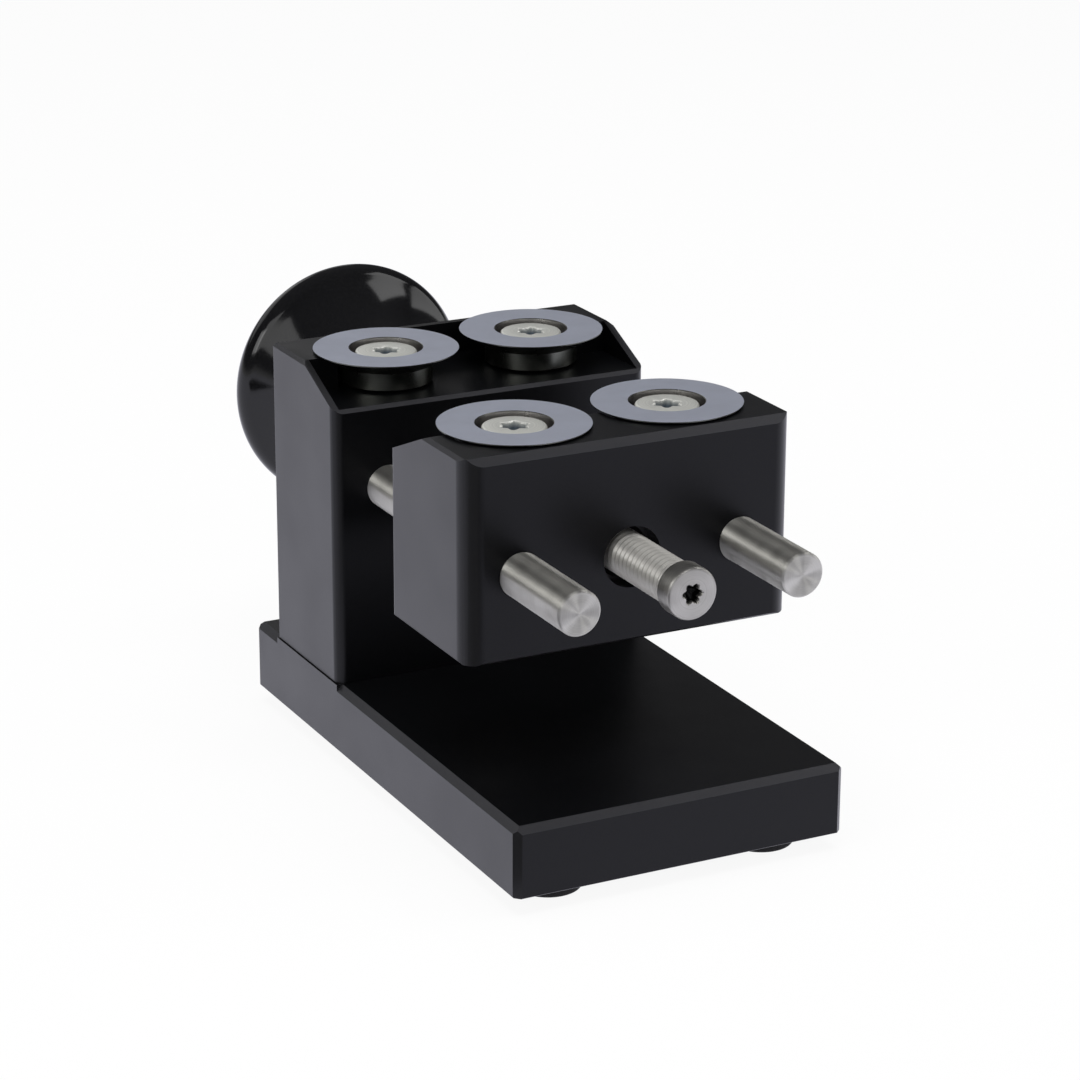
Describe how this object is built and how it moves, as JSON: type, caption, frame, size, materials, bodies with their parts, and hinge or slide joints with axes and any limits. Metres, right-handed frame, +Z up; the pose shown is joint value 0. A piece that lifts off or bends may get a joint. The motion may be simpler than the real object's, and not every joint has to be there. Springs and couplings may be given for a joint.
{
  "type": "bezel removal tool",
  "caption": "Bench tool with two jaws that carry knife-edged rollers; a knob and spindle slide the front jaw on guide pins to grip and lift a bezel.",
  "frame": {"origin": "on the bench surface under the middle of the object's length and width, at the bottom of the rubber feet", "axes": "+X to the right seen from the front, +Y back from the moving jaw to the knob, +Z up"},
  "size_m": [0.0476, 0.112, 0.0574],
  "materials": {
    "anodised_plate": "satin black anodised",
    "anodised_jaw": "satin black anodised",
    "roller_steel": "finely ground",
    "sleeve_steel": "ground",
    "zinc_screw": "zinc plated",
    "turned_steel": "turned",
    "stop_screw_steel": "bright",
    "bronze": "machined bronze or brass",
    "black_screw": "black oxide",
    "knob_plastic": "polished black moulding",
    "foot_rubber": "matt"
  },
  "bodies": {
    "frame": {"base_plate": "anodised_plate", "base_screws": "black_screw", "foot_front_left": "foot_rubber", "foot_front_right": "foot_rubber", "foot_rear_left": "foot_rubber", "foot_rear_right": "foot_rubber", "fixed_jaw": "anodised_jaw", "guide_pin_left": "turned_steel", "guide_pin_right": "turned_steel", "pin_screws": "black_screw", "spindle_bush": "bronze", "front_thrust_washer": "bronze", "rear_thrust_washer": "bronze", "roller_sleeve_rear_left": "sleeve_steel", "roller_sleeve_rear_right": "sleeve_steel", "roller_screw_rear_left": "zinc_screw", "roller_screw_rear_right": "zinc_screw"},
    "jaw": {"moving_jaw": "anodised_jaw", "spindle_nut": "black_screw", "nut_grub_screw": "black_screw", "roller_sleeve_front_left": "sleeve_steel", "roller_sleeve_front_right": "sleeve_steel", "roller_screw_front_left": "zinc_screw", "roller_screw_front_right": "zinc_screw"},
    "knob": {"spindle": "turned_steel", "end_screw": "stop_screw_steel", "knob": "knob_plastic", "knob_insert": "bronze", "knob_grub_screw": "black_screw"},
    "roller_rear_left": {"roller_rear_left": "roller_steel"},
    "roller_rear_right": {"roller_rear_right": "roller_steel"},
    "roller_front_left": {"roller_front_left": "roller_steel"},
    "roller_front_right": {"roller_front_right": "roller_steel"}
  },
  "joints": [
    {"name": "knob_turn", "type": "hinge", "parent": "frame", "child": "knob", "pos_m": [0, 0.02104, 0.0395], "axis": [0, -1, 0], "range_deg": [-5688, 6264]},
    {"name": "jaw_slide", "type": "slide", "parent": "frame", "child": "jaw", "axis": [0, 1, 0], "range_m": [-0.0158, 0.0174]},
    {"name": "roller_rear_left_turn", "type": "hinge", "parent": "frame", "child": "roller_rear_left", "pos_m": [-0.0111, 0.01064, 0.0554], "axis": [0, 0, 1], "continuous": true},
    {"name": "roller_rear_right_turn", "type": "hinge", "parent": "frame", "child": "roller_rear_right", "pos_m": [0.0111, 0.01064, 0.0554], "axis": [0, 0, 1], "continuous": true},
    {"name": "roller_front_left_turn", "type": "hinge", "parent": "jaw", "child": "roller_front_left", "pos_m": [-0.0111, -0.02866, 0.0554], "axis": [0, 0, 1], "continuous": true},
    {"name": "roller_front_right_turn", "type": "hinge", "parent": "jaw", "child": "roller_front_right", "pos_m": [0.0111, -0.02866, 0.0554], "axis": [0, 0, 1], "continuous": true}
  ],
  "couplings": [
    {"joint": "knob_turn", "follows": "jaw_slide", "rad_per_m": 6283.2}
  ]
}
